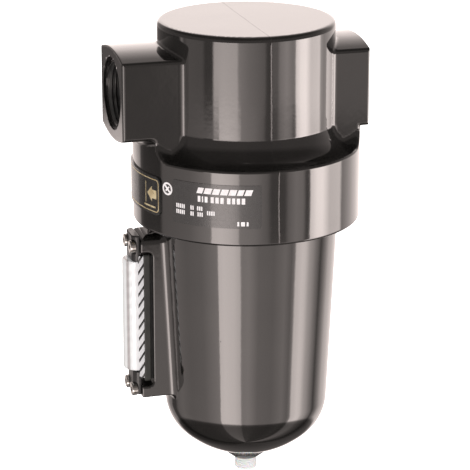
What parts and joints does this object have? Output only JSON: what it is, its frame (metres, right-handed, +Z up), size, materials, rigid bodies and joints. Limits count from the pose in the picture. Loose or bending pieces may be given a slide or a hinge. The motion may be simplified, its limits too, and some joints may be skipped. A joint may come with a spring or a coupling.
{
  "type": "compressed air filter",
  "caption": "In-line compressed air filter: cast black head with threaded ports, screwed-on metal bowl with liquid level sight glass, replaceable element and float drain.",
  "frame": {"origin": "centre of the inlet port at the first thread, 2 mm inside the inlet face", "axes": "+X along the air flow from the inlet port to the outlet port, +Z up along the bowl axis, which stands at X = 72.2 mm"},
  "size_m": [0.1361, 0.1234, 0.2578],
  "materials": {
    "black_enamel": "high-gloss black enamel over cast aluminium",
    "label_foil": "black printed foil label with fine silver lines",
    "badge_plastic": "black badge with raised gold outline and flow arrow",
    "black_moulding": "black glass-filled moulding",
    "dark_moulding": "smoky dark moulded holder, satin",
    "zinc_steel": "bright zinc-plated steel",
    "black_rubber": "synthetic rubber",
    "porous_plastic": "white sintered plastic granules",
    "clear_lens": "clear moulded transparent nylon",
    "clamp_black": "gloss black clamp",
    "bright_screw": "bright plated screw head",
    "white_acetal": "translucent white acetal",
    "nut_black": "black serrated nut",
    "strainer_steel": "perforated stainless steel",
    "float_grey": "light moulded float",
    "spring_steel": "stainless spring wire"
  },
  "bodies": {
    "head": {"head": "black_enamel", "rating_label": "label_foil", "flow_badge": "badge_plastic", "louvre": "black_moulding", "tie_rod": "zinc_steel"},
    "element_stack": {"upper_element_gasket": "black_rubber", "filter_element": "porous_plastic", "lower_element_gasket": "black_rubber"},
    "baffle": {"baffle": "black_moulding"},
    "bowl_seal": {"bowl_o_ring": "black_rubber"},
    "bowl": {"bowl": "black_enamel", "lens_gasket": "black_rubber", "lens_holder": "dark_moulding", "sight_lens": "clear_lens", "upper_clamp": "clamp_black", "lower_clamp": "clamp_black", "clamp_screws": "bright_screw", "drain_body": "white_acetal", "drain_o_ring": "black_rubber", "drain_nut": "nut_black", "drain_strainer": "strainer_steel", "drain_cap": "white_acetal", "valve_spring": "spring_steel"},
    "float": {"float": "float_grey", "pilot_pin": "zinc_steel"},
    "drain_valve": {"drain_piston": "white_acetal", "piston_seal": "black_rubber"}
  },
  "joints": [
    {"name": "bowl_drop", "type": "slide", "parent": "head", "child": "bowl_seal", "axis": [0, 0, -1], "range_m": [0, 0.00901]},
    {"name": "bowl_turn", "type": "hinge", "parent": "bowl_seal", "child": "bowl", "pos_m": [0.0722, 0, -0.12], "axis": [0, 0, -1], "range_deg": [0, 1080]},
    {"name": "element_drop", "type": "slide", "parent": "head", "child": "element_stack", "axis": [0, 0, -1], "range_m": [0, 0.00301]},
    {"name": "baffle_turn", "type": "hinge", "parent": "element_stack", "child": "baffle", "pos_m": [0.0722, 0, -0.14], "axis": [0, 0, -1], "range_deg": [0, 1080]},
    {"name": "float_rise", "type": "slide", "parent": "bowl", "child": "float", "axis": [0, 0, 1], "range_m": [0, 0.008]},
    {"name": "drain_valve_lift", "type": "slide", "parent": "bowl", "child": "drain_valve", "axis": [0, 0, 1], "range_m": [0, 0.0025], "stiffness_N_per_m": 400, "springref_m": -0.002, "deforming": ["valve_spring"]}
  ],
  "couplings": [
    {"joint": "bowl_drop", "follows": "bowl_turn", "m_per_rad": 0.00047746},
    {"joint": "element_drop", "follows": "baffle_turn", "m_per_rad": 0.00015915}
  ]
}
